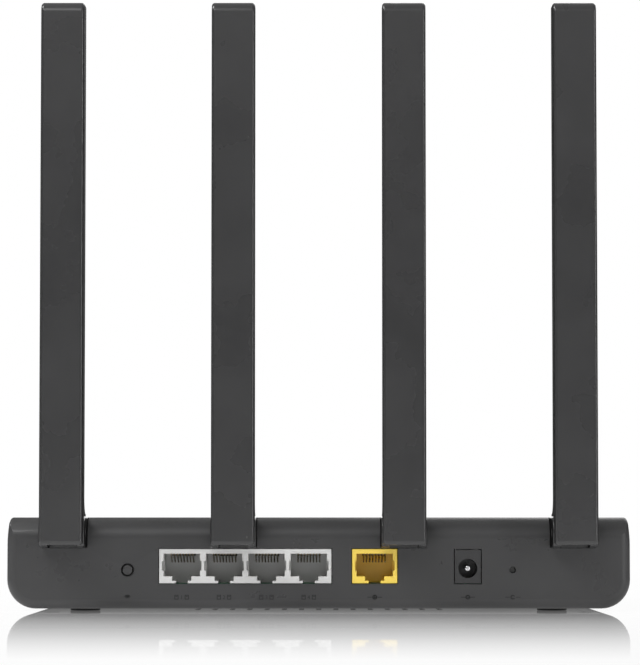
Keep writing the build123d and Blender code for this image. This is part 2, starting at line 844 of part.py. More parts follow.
def coax_plugs():
    """Round caps pushed over the sockets, each with a crimped neck for its lead."""
    y = back_y + plug_depth
    crimp_start = back_y + lead_low_end
    pieces = []
    for x in plug_x.values():
        cap = rod((x, y, board_top + plug_cap_low), (0, 0, 1), plug_cap_high - plug_cap_low, plug_cap_r)
        cap += rod((x, crimp_start, board_top + lead_height), (0, 1, 0), y - crimp_start, crimp_r)
        pieces.append(cap - rod((x, y, board_top), (0, 0, 1), plug_bore_top, plug_bore_r))
    return join(pieces)


# ---------------------------------------------------------------- every node
def router_nodes():
    nodes = {
        "base_tub": base_tub(),
        "top_cover": top_cover(),
        "rubber_feet": rubber_feet(),
        "case_screws": case_screws(),
        "circuit_board": circuit_board(),
        "board_screws": board_screws(),
        "lan_jack": jack(lan_centre, lan_width, port_places()),
        "lan_contacts": contacts(port_places()),
        "wan_jack": jack(wan_centre, wan_width, [wan_centre]),
        "wan_contacts": contacts([wan_centre]),
        "power_jack": power_jack(),
        "power_pin": power_pin(),
        "power_spring": power_spring(),
        "wps_button": wps_button(),
        "wps_plunger": wps_plunger(),
        "wps_switch": side_switch(button_x, button_switch_depth, button_plunger_r, button_travel),
        "reset_plunger": reset_plunger(),
        "reset_switch": side_switch(reset_x, reset_switch_depth, reset_plunger_r, reset_travel),
        "line_transformers": join(
            on_board(transformer, x, transformer_depth) for x in port_places() + [wan_centre]
        ),
        "main_processor": on_board(processor, 0, processor_depth),
        "heat_sink": heat_sink(),
        "memory_chips": join(on_board(memory, x, memory_depth) for x in about(0, memory_half_gap)),
        "radio_chips": join(on_board(radio, x, can_depth) for x in about(0, can_x)),
        "shield_cans": join(shield_can(x) for x in about(0, can_x)),
        "capacitors": capacitors(),
        "inductors": join(on_board(inductor, x, depth) for x, depth in inductor_places),
        "crystals": join(on_board(crystal, x, depth) for x, depth in crystal_places),
        "status_leds": status_leds(),
        "light_guide": light_guide(),
        "coax_sockets": coax_sockets(),
        "coax_plugs": coax_plugs(),
    }
    antenna = {
        "base": antenna_base(),
        "pins": antenna_pins(),
        "front_shell": antenna_front_shell(),
        "back_cover": antenna_back_cover(),
        "radiator": antenna_radiator(),
        "upper_lead": lead([(0, y, z) for y, z in upper_lead_path()]),
    }
    for number, x in antenna_x.items():
        for piece, shape in antenna.items():
            nodes[f"antenna_{number}_{piece}"] = Pos(x, pivot_y, pivot_z) * shape
        nodes[f"antenna_{number}_lower_lead"] = antenna_lower_lead(number)
    return nodes


for name, shape in router_nodes().items():
    export_step(shape, f"parts/{name}.step")
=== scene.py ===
import json
import math
import bmesh
import bpy
from mathutils import Matrix, Vector


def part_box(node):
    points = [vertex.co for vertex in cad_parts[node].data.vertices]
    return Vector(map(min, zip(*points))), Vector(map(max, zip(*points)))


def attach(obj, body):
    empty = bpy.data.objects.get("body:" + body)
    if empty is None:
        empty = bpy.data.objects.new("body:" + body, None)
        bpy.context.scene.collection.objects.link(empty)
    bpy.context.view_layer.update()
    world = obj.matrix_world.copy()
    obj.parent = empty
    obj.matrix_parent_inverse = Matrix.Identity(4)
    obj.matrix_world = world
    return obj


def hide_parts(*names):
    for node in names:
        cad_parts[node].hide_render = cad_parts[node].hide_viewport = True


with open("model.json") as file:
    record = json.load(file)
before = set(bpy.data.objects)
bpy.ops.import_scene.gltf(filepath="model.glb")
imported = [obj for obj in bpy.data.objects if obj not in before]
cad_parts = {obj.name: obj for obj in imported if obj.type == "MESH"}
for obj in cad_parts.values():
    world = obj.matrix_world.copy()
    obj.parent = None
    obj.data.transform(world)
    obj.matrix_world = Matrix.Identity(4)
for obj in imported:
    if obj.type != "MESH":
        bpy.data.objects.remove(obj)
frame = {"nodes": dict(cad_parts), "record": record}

# The look of the router: finished copies of its moulded parts with softened edges, small metal
# parts set out by geometry trees, printed marks, materials, studio, camera.

MM = 0.001
FULL_TURN = 2 * math.pi
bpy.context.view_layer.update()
nodes = frame["nodes"]
scene = bpy.context.scene
mounts = {m["name"]: Vector(m["pos_m"]) for m in frame["record"]["mounts"]}
body_of_node = {n: b for b, ns in frame["record"]["behaviour"]["bodies"].items() for n in ns}
slot_of_node = {s["node"]: s["material_slot"] for s in frame["record"]["subparts"]}
ANTENNAS = (1, 2, 3, 4)
LAN_PORTS = [f"lan_port_{n}" for n in (1, 2, 3, 4)]


# ------------------------------------------------------------------ shader building blocks
def new_group(name, inputs, outputs):
    """An empty shader node group with named sockets, and its two end nodes."""
    tree = bpy.data.node_groups.new(name, "ShaderNodeTree")
    for label, kind, value in inputs:
        socket = tree.interface.new_socket(name=label, in_out="INPUT", socket_type=kind)
        socket.default_value = value
    for label, kind in outputs:
        tree.interface.new_socket(name=label, in_out="OUTPUT", socket_type=kind)
    return tree, tree.nodes.new("NodeGroupInput"), tree.nodes.new("NodeGroupOutput")


def wire(tree, source, out, target, into):
    tree.links.new(source.outputs[out], target.inputs[into])


def math_node(tree, operation, a, b=None):
    """A Math node whose inputs are numbers or (node, socket) pairs."""
    node = tree.nodes.new("ShaderNodeMath")
    node.operation = operation
    for i, value in enumerate(v for v in (a, b) if v is not None):
        if isinstance(value, tuple):
            wire(tree, value[0], value[1], node, i)
        else:
            node.inputs[i].default_value = value
    return node


def noise(tree, vector, scale, detail=2.0):
    node = tree.nodes.new("ShaderNodeTexNoise")
    node.inputs["Detail"].default_value = detail
    if isinstance(scale, tuple):
        wire(tree, scale[0], scale[1], node, "Scale")
    else:
        node.inputs["Scale"].default_value = scale
    wire(tree, vector[0], vector[1], node, "Vector")
    return node


def remap(tree, source, low, high, to_low=0.0, to_high=1.0):
    node = tree.nodes.new("ShaderNodeMapRange")
    node.inputs["From Min"].default_value = low
    node.inputs["From Max"].default_value = high
    node.inputs["To Min"].default_value = to_low
    node.inputs["To Max"].default_value = to_high
    wire(tree, source[0], source[1], node, "Value")
    return node


def build_grain_group():
    """Spark-eroded texture of a moulded surface: pebbles, a finer grit and a slow mottle."""
    tree, start, end = new_group(
        "moulded_grain",
        [("Pebbles per metre", "NodeSocketFloat", 3000.0)],
        [("Height", "NodeSocketFloat"), ("Mottle", "NodeSocketFloat")],
    )
    place = tree.nodes.new("ShaderNodeTexCoord")
    pebbles = tree.nodes.new("ShaderNodeTexVoronoi")
    pebbles.feature = "SMOOTH_F1"
    wire(tree, place, "Object", pebbles, "Vector")
    wire(tree, start, "Pebbles per metre", pebbles, "Scale")
    finer = math_node(tree, "MULTIPLY", (start, "Pebbles per metre"), 2.3)
    grit = noise(tree, (place, "Object"), (finer, 0), 3.0)
    height = math_node(tree, "ADD", (pebbles, "Distance"), (grit, "Fac"))
    wire(tree, height, 0, end, "Height")
    mottle = noise(tree, (place, "Object"), 45.0, 4.0)
    wire(tree, mottle, "Fac", end, "Mottle")
    return tree


def build_wear_group():
    """Where handling has polished an edge: the edge attribute broken up by noise."""
    tree, start, end = new_group(
        "edge_wear",
        [("Amount", "NodeSocketFloat", 0.5)],
        [("Mask", "NodeSocketFloat")],
    )
    edge = tree.nodes.new("ShaderNodeAttribute")
    edge.attribute_name = "edge"
    place = tree.nodes.new("ShaderNodeTexCoord")
    patches = noise(tree, (place, "Object"), 260.0, 5.0)
    broken = remap(tree, (patches, "Fac"), 0.35, 0.65, 0.7, 1.0)
    masked = math_node(tree, "MULTIPLY", (edge, "Fac"), (broken, "Result"))
    scaled = math_node(tree, "MULTIPLY", (masked, 0), (start, "Amount"))
    wire(tree, scaled, 0, end, "Mask")
    return tree


def build_dust_group():
    """A thin film of dust on the faces that look up when the router stands ready for use."""
    tree, start, end = new_group(
        "settled_dust",
        [("Amount", "NodeSocketFloat", 0.3)],
        [("Mask", "NodeSocketFloat")],
    )
    place = tree.nodes.new("ShaderNodeTexCoord")
    split = tree.nodes.new("ShaderNodeSeparateXYZ")
    wire(tree, place, "Normal", split, "Vector")
    up = remap(tree, (split, "Z"), 0.55, 1.0)
    specks = noise(tree, (place, "Object"), 1100.0, 2.0)
    drifts = noise(tree, (place, "Object"), 30.0, 4.0)
    speck_mask = remap(tree, (specks, "Fac"), 0.35, 0.8)
    drift_mask = remap(tree, (drifts, "Fac"), 0.3, 0.75, 0.25, 1.0)
    film = math_node(tree, "MULTIPLY", (speck_mask, "Result"), (drift_mask, "Result"))
    lying = math_node(tree, "MULTIPLY", (film, 0), (up, "Result"))
    scaled = math_node(tree, "MULTIPLY", (lying, 0), (start, "Amount"))
    wire(tree, scaled, 0, end, "Mask")
    return tree


GRAIN = build_grain_group()
WEAR = build_wear_group()
DUST = build_dust_group()


DUST_COLOUR = (0.34, 0.33, 0.31)
SCRATCH_DEPTH = 0.004 * MM
TRACK_DEPTH = 0.03 * MM


def place_group(tree, group, **values):
    node = tree.nodes.new("ShaderNodeGroup")
    node.node_tree = group
    for label, value in values.items():
        node.inputs[label.replace("_", " ")].default_value = value
    return node


def mix_colour(tree, factor, first, second):
    """Mix two colours, each given as a tuple or as a (node, socket) pair."""
    node = tree.nodes.new("ShaderNodeMix")
    node.data_type = "RGBA"
    wire(tree, factor[0], factor[1], node, 0)
    for i, value in ((6, first), (7, second)):
        if isinstance(value[0], bpy.types.Node):
            wire(tree, value[0], value[1], node, i)
        else:
            node.inputs[i].default_value = (*value, 1.0)
    return node


def new_material(name):
    material = bpy.data.materials.new(name)
    material.use_nodes = True
    return material, material.node_tree, material.node_tree.nodes["Principled BSDF"]


def shade(colour, factor):
    return tuple(c * factor for c in colour)


def add_relief(tree, shader, height, depth):
    """Raise a material's surface by a height between 0 and 1, times a depth in metres."""
    bump = tree.nodes.new("ShaderNodeBump")
    bump.inputs["Distance"].default_value = depth
    wire(tree, height[0], height[1], bump, "Height")
    wire(tree, bump, "Normal", shader, "Normal")


def side_tone(tree, source, tone):
    """Painted shade: darken the colour of the faces that look along X."""
    place = tree.nodes.new("ShaderNodeTexCoord")
    split = tree.nodes.new("ShaderNodeSeparateXYZ")
    wire(tree, place, "Normal", split, "Vector")
    across = math_node(tree, "ABSOLUTE", (split, "X"))
    side_shade = remap(tree, (across, 0), 0.75, 0.97)
    return side_shade, mix_colour(tree, (side_shade, "Result"), source, tone)


def plastic(name, colour, roughness, grain=3000.0, depth=0.004, wear=0.4, dust=0.12, side_shade=None):
    """Moulded plastic: grained, a little mottled, polished on its edges, dusty on top, with painted shade on
    its sides where asked.
    """
    material, tree, shader = new_material(name)
    grain_node = place_group(tree, GRAIN, Pebbles_per_metre=grain)
    wear_node = place_group(tree, WEAR, Amount=wear)
    dust_node = place_group(tree, DUST, Amount=dust)
    mottle = remap(tree, (grain_node, "Mottle"), 0.3, 0.7)
    base = mix_colour(tree, (mottle, "Result"), shade(colour, 0.93), shade(colour, 1.07))
    lighter = tuple(min(1.0, c * 1.12 + 0.004) for c in colour)
    worn = mix_colour(tree, (wear_node, "Mask"), (base, 2), lighter)
    dusty = mix_colour(tree, (dust_node, "Mask"), (worn, 2), DUST_COLOUR)
    rough = remap(tree, (grain_node, "Mottle"), 0.3, 0.7, roughness - 0.03, roughness + 0.03)
    polished = math_node(tree, "MULTIPLY", (wear_node, "Mask"), 0.35)
    final = math_node(tree, "SUBTRACT", (rough, "Result"), (polished, 0))
    # painted shade: faces that look along X get a darker colour, and are made rougher and less glossy
    if side_shade is not None:
        shaded_sides, dusty = side_tone(tree, (dusty, 2), shade(colour, side_shade))
        coarser = math_node(tree, "MULTIPLY", (shaded_sides, "Result"), 0.4)
        final = math_node(tree, "ADD", (final, 0), (coarser, 0))
        shine = remap(tree, (shaded_sides, "Result"), 0.0, 1.0, 0.5, 0.05)
        wire(tree, shine, "Result", shader, "Specular IOR Level")
    wire(tree, dusty, 2, shader, "Base Color")
    wire(tree, final, 0, shader, "Roughness")
    add_relief(tree, shader, (grain_node, "Height"), depth * MM)
    return material


def metal(name, colour, roughness, lines=0.0):
    """Plated or drawn metal with fine tool lines and cloudy roughness."""
    material, tree, shader = new_material(name)
    place = tree.nodes.new("ShaderNodeTexCoord")
    stretch = tree.nodes.new("ShaderNodeMapping")
    stretch.inputs["Scale"].default_value = (1.0, 1.0 + lines, 1.0)
    wire(tree, place, "Object", stretch, "Vector")
    scratches = noise(tree, (stretch, "Vector"), 2600.0, 4.0)
    clouds = noise(tree, (place, "Object"), 320.0, 3.0)
    tint = remap(tree, (clouds, "Fac"), 0.3, 0.7)
    base = mix_colour(tree, (tint, "Result"), shade(colour, 0.85), colour)
    wire(tree, base, 2, shader, "Base Color")
    rough = remap(tree, (clouds, "Fac"), 0.3, 0.7, roughness - 0.08, roughness + 0.08)
    wire(tree, rough, "Result", shader, "Roughness")
    shader.inputs["Metallic"].default_value = 1.0
    add_relief(tree, shader, (scratches, "Fac"), SCRATCH_DEPTH)
    return material


def laminate(name, mask_colour, track_colour):
    """Circuit board: coloured solder mask over copper tracks, with a glossy coat."""
    material, tree, shader = new_material(name)
    place = tree.nodes.new("ShaderNodeTexCoord")
    tracks = tree.nodes.new("ShaderNodeTexBrick")
    tracks.offset = 0.5
    for label, value in (("Scale", 260.0), ("Mortar Size", 0.12), ("Brick Width", 1.8), ("Row Height", 0.35)):
        tracks.inputs[label].default_value = value
    wire(tree, place, "Object", tracks, "Vector")
    fields = noise(tree, (place, "Object"), 90.0, 1.0)
    poured = remap(tree, (fields, "Fac"), 0.48, 0.5)
    pattern = math_node(tree, "MULTIPLY", (tracks, "Fac"), (poured, "Result"))
    base = mix_colour(tree, (pattern, 0), mask_colour, track_colour)
    wire(tree, base, 2, shader, "Base Color")
    weave = noise(tree, (place, "Object"), 1500.0, 2.0)
    rough = remap(tree, (weave, "Fac"), 0.3, 0.7, 0.24, 0.4)
    wire(tree, rough, "Result", shader, "Roughness")
    add_relief(tree, shader, (pattern, 0), TRACK_DEPTH)
    return material


def clear_acrylic(name):
    material, tree, shader = new_material(name)
    place = tree.nodes.new("ShaderNodeTexCoord")
    haze = noise(tree, (place, "Object"), 400.0, 3.0)
    rough = remap(tree, (haze, "Fac"), 0.3, 0.7, 0.12, 0.3)
    wire(tree, rough, "Result", shader, "Roughness")
    shader.inputs["Base Color"].default_value = (0.86, 0.9, 0.94, 1.0)
    shader.inputs["Transmission Weight"].default_value = 0.6
    shader.inputs["IOR"].default_value = 1.49
    return material


def make_materials():
    """Every finish of the router under the name of its slot."""
    charcoal = (0.043, 0.043, 0.044)
    solder_mask = (0.008, 0.055, 0.028)
    plastics = {
        "case_plastic": dict(colour=charcoal, roughness=0.42),
        # the antenna plastic carries painted shade on its sides
        "antenna_plastic": dict(colour=shade(charcoal, 0.84), roughness=0.28, wear=0.35, side_shade=0.12),
        "foot_rubber": dict(colour=(0.018, 0.018, 0.018), roughness=0.75, grain=1800.0, depth=0.04),
        "lan_plastic": dict(colour=(0.7, 0.7, 0.69), roughness=0.38, depth=0.008, wear=0.2),
        "wan_plastic": dict(colour=(0.96, 0.7, 0.11), roughness=0.36, depth=0.008, wear=0.2),
        "black_plastic": dict(colour=(0.034, 0.034, 0.035), roughness=0.4, depth=0.01),
        "plunger_plastic": dict(colour=(0.25, 0.25, 0.25), roughness=0.45, depth=0.01),
        "chip_epoxy": dict(colour=(0.02, 0.02, 0.022), roughness=0.5, grain=5000.0, depth=0.01),
        "capacitor_sleeve": dict(colour=(0.02, 0.035, 0.09), roughness=0.3, depth=0.004),
        "lamp_resin": dict(colour=(0.72, 0.75, 0.66), roughness=0.25, depth=0.003),
        "lead_jacket": dict(colour=(0.02, 0.02, 0.021), roughness=0.35, depth=0.005),
        "mark_ink": dict(colour=(0.008, 0.008, 0.009), roughness=0.55, depth=0.003, wear=0.0, dust=0.0),
    }
    metals = {
        "screw_steel": dict(colour=(0.42, 0.42, 0.43), roughness=0.38, lines=8.0),
        "contact_metal": dict(colour=(0.3, 0.26, 0.19), roughness=0.3),
        "pin_metal": dict(colour=(0.72, 0.72, 0.73), roughness=0.16),
        "sink_aluminium": dict(colour=(0.62, 0.63, 0.65), roughness=0.42, lines=12.0),
        "can_metal": dict(colour=(0.6, 0.6, 0.6), roughness=0.34, lines=4.0),
    }
    made = {name: plastic(name, **finish) for name, finish in plastics.items()}
    made.update({name: metal(name, **finish) for name, finish in metals.items()})
    made["board_laminate"] = laminate("board_laminate", solder_mask, (0.03, 0.16, 0.07))
    made["radiator_laminate"] = laminate("radiator_laminate", solder_mask, (0.35, 0.2, 0.08))
    made["guide_acrylic"] = clear_acrylic("guide_acrylic")
    return made


MATERIALS = make_materials()


# ------------------------------------------------------------------ geometry trees
def geometry_tree(name, inputs):
    """An empty geometry tree with named inputs, and its two end nodes."""
    tree = bpy.data.node_groups.new(name, "GeometryNodeTree")
    for label, kind in inputs:
        tree.interface.new_socket(name=label, in_out="INPUT", socket_type=kind)
    tree.interface.new_socket(name="Geometry", in_out="OUTPUT", socket_type="NodeSocketGeometry")
    return tree, tree.nodes.new("NodeGroupInput"), tree.nodes.new("NodeGroupOutput")


def finish_tree(tree, start, end, instances):
    """Make the copies real, give them their material and hand them over."""
    real = tree.nodes.new("GeometryNodeRealizeInstances")
    coat = tree.nodes.new("GeometryNodeSetMaterial")
    wire(tree, instances, "Instances", real, "Geometry")
    wire(tree, real, "Geometry", coat, "Geometry")
    wire(tree, start, "Material", coat, "Material")
    wire(tree, coat, "Geometry", end, "Geometry")


def build_set_out_tree():
    """One copy of a piece at each place, turned a different amount about the upright axis."""
    tree, start, end = geometry_tree("set_out", [
        ("Places", "NodeSocketGeometry"), ("Piece", "NodeSocketObject"), ("Turn", "NodeSocketFloat"),
        ("Seed", "NodeSocketInt"), ("Material", "NodeSocketMaterial"),
    ])
    piece = tree.nodes.new("GeometryNodeObjectInfo")
    wire(tree, start, "Piece", piece, "Object")
    chance = tree.nodes.new("FunctionNodeRandomValue")
    chance.data_type = "FLOAT"
    wire(tree, start, "Turn", chance, "Max")
    wire(tree, start, "Seed", chance, "Seed")
    turn = tree.nodes.new("ShaderNodeCombineXYZ")
    tree.links.new(chance.outputs[1], turn.inputs["Z"])
    copies = tree.nodes.new("GeometryNodeInstanceOnPoints")
    wire(tree, start, "Places", copies, "Points")
    wire(tree, piece, "Geometry", copies, "Instance")
    wire(tree, turn, "Vector", copies, "Rotation")
    finish_tree(tree, start, end, copies)
    return tree


def build_bent_strip_tree():
    """A flat strip swept along a bent path, repeated at each place."""
    tree, start, end = geometry_tree("bent_strip", [
        ("Places", "NodeSocketGeometry"), ("Path", "NodeSocketObject"), ("Bend", "NodeSocketFloat"),
        ("Width", "NodeSocketFloat"), ("Thickness", "NodeSocketFloat"), ("Material", "NodeSocketMaterial"),
    ])
    path = tree.nodes.new("GeometryNodeObjectInfo")
    wire(tree, start, "Path", path, "Object")
    curve = tree.nodes.new("GeometryNodeMeshToCurve")
    wire(tree, path, "Geometry", curve, "Mesh")
    bend = tree.nodes.new("GeometryNodeFilletCurve")
    bend.mode = "POLY"
    bend.inputs["Count"].default_value = 3
    wire(tree, curve, "Curve", bend, "Curve")
    wire(tree, start, "Bend", bend, "Radius")
    section = tree.nodes.new("GeometryNodeCurvePrimitiveQuadrilateral")
    wire(tree, start, "Width", section, "Width")
    wire(tree, start, "Thickness", section, "Height")
    sweep = tree.nodes.new("GeometryNodeCurveToMesh")
    sweep.inputs["Fill Caps"].default_value = True
    wire(tree, bend, "Curve", sweep, "Curve")
    wire(tree, section, "Curve", sweep, "Profile Curve")
    copies = tree.nodes.new("GeometryNodeInstanceOnPoints")
    wire(tree, start, "Places", copies, "Points")
    wire(tree, sweep, "Mesh", copies, "Instance")
    finish_tree(tree, start, end, copies)
    return tree


SET_OUT = build_set_out_tree()
BENT_STRIP = build_bent_strip_tree()


def plain_mesh(obj, name):
    """The evaluated object as a plain mesh."""
    graph = bpy.context.evaluated_depsgraph_get()
    mesh = bpy.data.meshes.new_from_object(obj.evaluated_get(graph))
    mesh.name = name
    return mesh


def points_mesh(name, points, joined=False):
    """Loose points, or points joined in a line."""
    mesh = bpy.data.meshes.new(name)
    edges = [(i, i + 1) for i in range(len(points) - 1)] if joined else []
    mesh.from_pydata([tuple(p) for p in points], edges, [])
    return mesh


def grow(name, places, tree, values):
    """Run a geometry tree on some places and keep the result as a plain mesh."""
    obj = bpy.data.objects.new(name, points_mesh(name + "_places", places))
    scene.collection.objects.link(obj)
    modifier = obj.modifiers.new("grow", "NODES")
    modifier.node_group = tree
    for item in tree.interface.items_tree:
        if item.in_out == "INPUT" and item.name in values:
            modifier[item.identifier] = values[item.name]
    mesh = plain_mesh(obj, name)
    bpy.data.objects.remove(obj)
    return mesh


# ------------------------------------------------------------------ finished copies of moulded parts
DOUBLED = 0.002 * MM  # corners closer than this are one
FLAT_TURN = math.radians(0.6)  # facets that turn less than this are one
SHARP_TURN = math.radians(38.0)  # edges that turn more than this are rounded over
ROUNDED_TURNS = (0.1, 1.0)  # a rounded-over edge's facets turn between these angles
EDGE_WIDTH = 0.2  # a rounded-over edge's facets are narrower than this, in mm


def mark_edges(mesh, widest):
    """Store on each face corner whether its face is part of a rounded-over edge."""
    least_turn, most_turn = ROUNDED_TURNS
    work = bmesh.new()
    work.from_mesh(mesh)
    values = []
    for face in work.faces:
        turn = max((e.calc_face_angle(0.0) for e in face.edges), default=0.0)
        narrow = min(e.calc_length() for e in face.edges) < widest * MM
        rounded = narrow and least_turn < turn < most_turn
        values += [float(rounded)] * len(face.verts)
    work.free()
    layer = mesh.attributes.new("edge", "FLOAT", "CORNER")
    layer.data.foreach_set("value", values)


def add_piece(name, mesh, body, slot, replaced=(), material=None):
    """Put a finished mesh in the scene as a piece that moves with its body."""
    piece = bpy.data.objects.new(name, mesh)
    scene.collection.objects.link(piece)
    mesh.materials.clear()
    mesh.materials.append(MATERIALS[material or slot])
    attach(piece, body)
    if replaced:
        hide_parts(*replaced)


def add_for_node(node, mesh):
    """A finished piece that stands in for a node of the same place, body and slot."""
    add_piece(node + "_finished", mesh, body_of_node[node], slot_of_node[node], [node])


def merged(mesh):
    """Working copy of a mesh with its doubled corners and flat facets merged."""
    work = bmesh.new()
    work.from_mesh(mesh)
    bmesh.ops.remove_doubles(work, verts=work.verts, dist=DOUBLED)
    bmesh.ops.dissolve_limit(work, angle_limit=FLAT_TURN, verts=work.verts, edges=work.edges)
    return work


def softened(work, name, softness, edge_width=EDGE_WIDTH):
    """Plain mesh of a working copy with its sharp edges rounded over."""
    mesh = bpy.data.meshes.new(name + "_rough")
    work.to_mesh(mesh)
    work.free()
    mesh.shade_smooth()
    rough = bpy.data.objects.new(name + "_rough", mesh)
    scene.collection.objects.link(rough)
    bevel = rough.modifiers.new("soften", "BEVEL")
    bevel.width = softness * MM
    bevel.segments = 2
    bevel.limit_method = "ANGLE"
    bevel.angle_limit = SHARP_TURN
    bevel.use_clamp_overlap = True
    even = rough.modifiers.new("even", "WEIGHTED_NORMAL")
    even.mode = "FACE_AREA"
    even.weight = 50
    result = plain_mesh(rough, name)
    bpy.data.objects.remove(rough)
    mark_edges(result, edge_width)
    return result


def finished_copy(node, softness, edge_width=EDGE_WIDTH):
    """Stand a copy with softened edges in for a node."""
    mesh = softened(merged(nodes[node].data), node + "_soft", softness, edge_width)
    add_for_node(node, mesh)


def loose_parts(work):
    """Groups of vertices that hang together, in order of place."""
    left = set(work.verts)
    groups = []
    while left:
        queue = [left.pop()]
        group = []
        while queue:
            vert = queue.pop()
            group.append(vert)
            for edge in vert.link_edges:
                other = edge.other_vert(vert)
                if other in left:
                    left.remove(other)
                    queue.append(other)
        groups.append(group)
    return groups


def middle_of(group):
    low = [min(v.co[i] for v in group) for i in range(3)]
    high = [max(v.co[i] for v in group) for i in range(3)]
    return Vector([(a + b) / 2 for a, b in zip(low, high)])


def set_out_again(node, softness, turn=0.0, seed=1):
    """Finish one of a node's repeated pieces, then set copies of it out at every place."""
    work = merged(nodes[node].data)
    groups = loose_parts(work)
    places = sorted((middle_of(g) for g in groups), key=lambda p: (p.x, p.y))
    first = min(groups, key=lambda g: (middle_of(g) - places[0]).length)
    keep = set(first)
    bmesh.ops.delete(work, geom=[v for v in work.verts if v not in keep], context="VERTS")
    bmesh.ops.translate(work, vec=-places[0], verts=work.verts)
    mesh = softened(work, node + "_one", softness)
    single = bpy.data.objects.new(node + "_one", mesh)
    values = {"Piece": single, "Turn": turn, "Seed": seed, "Material": MATERIALS[slot_of_node[node]]}
    result = grow(node + "_set", places, SET_OUT, values)
    bpy.data.objects.remove(single)
    add_for_node(node, result)


# spring contacts, in metres: the strip, its spacing, and its bends measured from its node's box
CONTACT_WIDTH = 0.44 * MM
CONTACT_THICKNESS = 0.28 * MM
CONTACT_PITCH = 1.02 * MM
CONTACTS_PER_PORT = 8
CONTACT_BEND = 0.2 * MM
CONTACT_CLEAR = 0.01 * MM
NOSE_INSET = 0.2 * MM
NOSE_LENGTH = 0.3 * MM
NOSE_DROP = 0.6 * MM
TAIL_LENGTH = 1.35 * MM
SPRING_LENGTH = 7.1 * MM
SPRING_DROP = 3.2 * MM


def bend_contacts(node, port_names):
    """Spring contacts: bent strips side by side in each port."""
    low, high = (Vector(v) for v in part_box(node))
    top = high.z - CONTACT_THICKNESS / 2 - CONTACT_CLEAR
    foot = low.z + CONTACT_THICKNESS / 2 + CONTACT_CLEAR
    nose = low.y + NOSE_INSET
    rise = high.y - TAIL_LENGTH
    path = [
        (0.0, high.y, foot), (0.0, rise, foot), (0.0, rise, top), (0.0, nose + NOSE_LENGTH, top),
        (0.0, nose, top - NOSE_DROP), (0.0, nose + SPRING_LENGTH, top - SPRING_DROP),
    ]
    line = bpy.data.objects.new(node + "_path", points_mesh(node + "_path", path, joined=True))
    places = [
        (mounts[port].x + (i - (CONTACTS_PER_PORT - 1) / 2) * CONTACT_PITCH, 0.0, 0.0)
        for port in port_names for i in range(CONTACTS_PER_PORT)
    ]
    values = {"Path": line, "Bend": CONTACT_BEND, "Width": CONTACT_WIDTH, "Thickness": CONTACT_THICKNESS,
              "Material": MATERIALS[slot_of_node[node]]}
    mesh = grow(node + "_bent", places, BENT_STRIP, values)
    bpy.data.objects.remove(line)
    add_for_node(node, mesh)


# how far each moulded part's edges are rounded over, in mm
SOFTNESS = {
    "base_tub": 0.18, "top_cover": 0.12, "lan_jack": 0.12, "wan_jack": 0.12, "power_jack": 0.12,
    "wps_button": 0.08, "heat_sink": 0.12, "circuit_board": 0.06,
}
WIDE_EDGE = 0.45  # the antenna's front is moulded with wider rounded edges, in mm


def finish_shells():
    for node, softness in SOFTNESS.items():
        finished_copy(node, softness)
    for n in ANTENNAS:
        finished_copy(f"antenna_{n}_front_shell", 0.12, WIDE_EDGE)
        finished_copy(f"antenna_{n}_back_cover", 0.1)
        finished_copy(f"antenna_{n}_base", 0.12)


def set_out_small_parts():
    set_out_again("case_screws", 0.06, FULL_TURN, 3)
    set_out_again("board_screws", 0.06, FULL_TURN, 5)
    set_out_again("rubber_feet", 0.12, FULL_TURN, 7)
    set_out_again("capacitors", 0.3, FULL_TURN, 9)
    set_out_again("inductors", 0.3)
    set_out_again("status_leds", 0.1)
    set_out_again("line_transformers", 0.25)
    set_out_again("memory_chips", 0.12)
    bend_contacts("lan_contacts", LAN_PORTS)
    bend_contacts("wan_contacts", ["wan_port"])


def dress_nodes():
    """Give every remaining part its material."""
    for name, node in nodes.items():
        node.data.materials.clear()
        chosen = "pin_metal" if name == "power_pin" else slot_of_node[name]
        node.data.materials.append(MATERIALS[chosen])


# ------------------------------------------------------------------ printed marks
INK = 0.02 * MM  # how far the print stands off the wall
STROKE = 0.24 * MM
MARK_HEIGHT = 1.3 * MM
MARK_LEVEL = 4.75 * MM  # middle of the marks above the table
WALL_INSET = 0.3 * MM  # the sockets' faces stand this far in from the wall's face


def mark_stroke(work, points, width, closed=False):
    """A flat stroke through points given in (x, z), as a thin slab facing the socket side."""
    count = len(points)
    pairs = [(points[i], points[(i + 1) % count]) for i in range(count if closed else count - 1)]
    for (ax, az), (bx, bz) in pairs:
        a, b = Vector((ax, 0.0, az)), Vector((bx, 0.0, bz))
        run = (b - a).normalized() * (width / 2)
        side = Vector((-run.z, 0.0, run.x))
        corners = [a - run - side, b + run - side, b + run + side, a - run + side]
        front = [work.verts.new(c) for c in corners]
        back = [work.verts.new(c + Vector((0.0, INK * 6, 0.0))) for c in corners]
        work.faces.new(front)
        work.faces.new(back[::-1])
        for i in range(4):
            j = (i + 1) % 4
            work.faces.new((front[j], front[i], back[i], back[j]))


def arc(x, z, radius, count, start, sweep):
    turns = [start + sweep * i / count for i in range(count + 1)]
    return [(x + radius * math.cos(turn), z + radius * math.sin(turn)) for turn in turns]


def ring(x, z, radius):
    return arc(x, z, radius, 20, 0.0, FULL_TURN)[:-1]


def digit_mesh(text, height):
    """A numeral as a flat mesh with a little thickness, lying in (x, z)."""
    data = bpy.data.curves.new("numeral_" + text, "FONT")
    data.body = text
    data.size = height * 1.4
    data.extrude = INK * 3
    data.align_x = "CENTER"
    data.resolution_u = 3
    obj = bpy.data.objects.new("numeral_" + text, data)
    scene.collection.objects.link(obj)
    mesh = plain_mesh(obj, "numeral_" + text)
    bpy.data.objects.remove(obj)
    mesh.transform(Matrix.Rotation(math.radians(90.0), 4, "X"))
    return mesh


def middle_x(node):
    low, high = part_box(node)
    return (low[0] + high[0]) / 2


def dash(work, x, start, end, z=MARK_LEVEL):
    """A level stroke between two distances from x, in mm."""
    mark_stroke(work, [(x + start * MM, z), (x + end * MM, z)], STROKE)


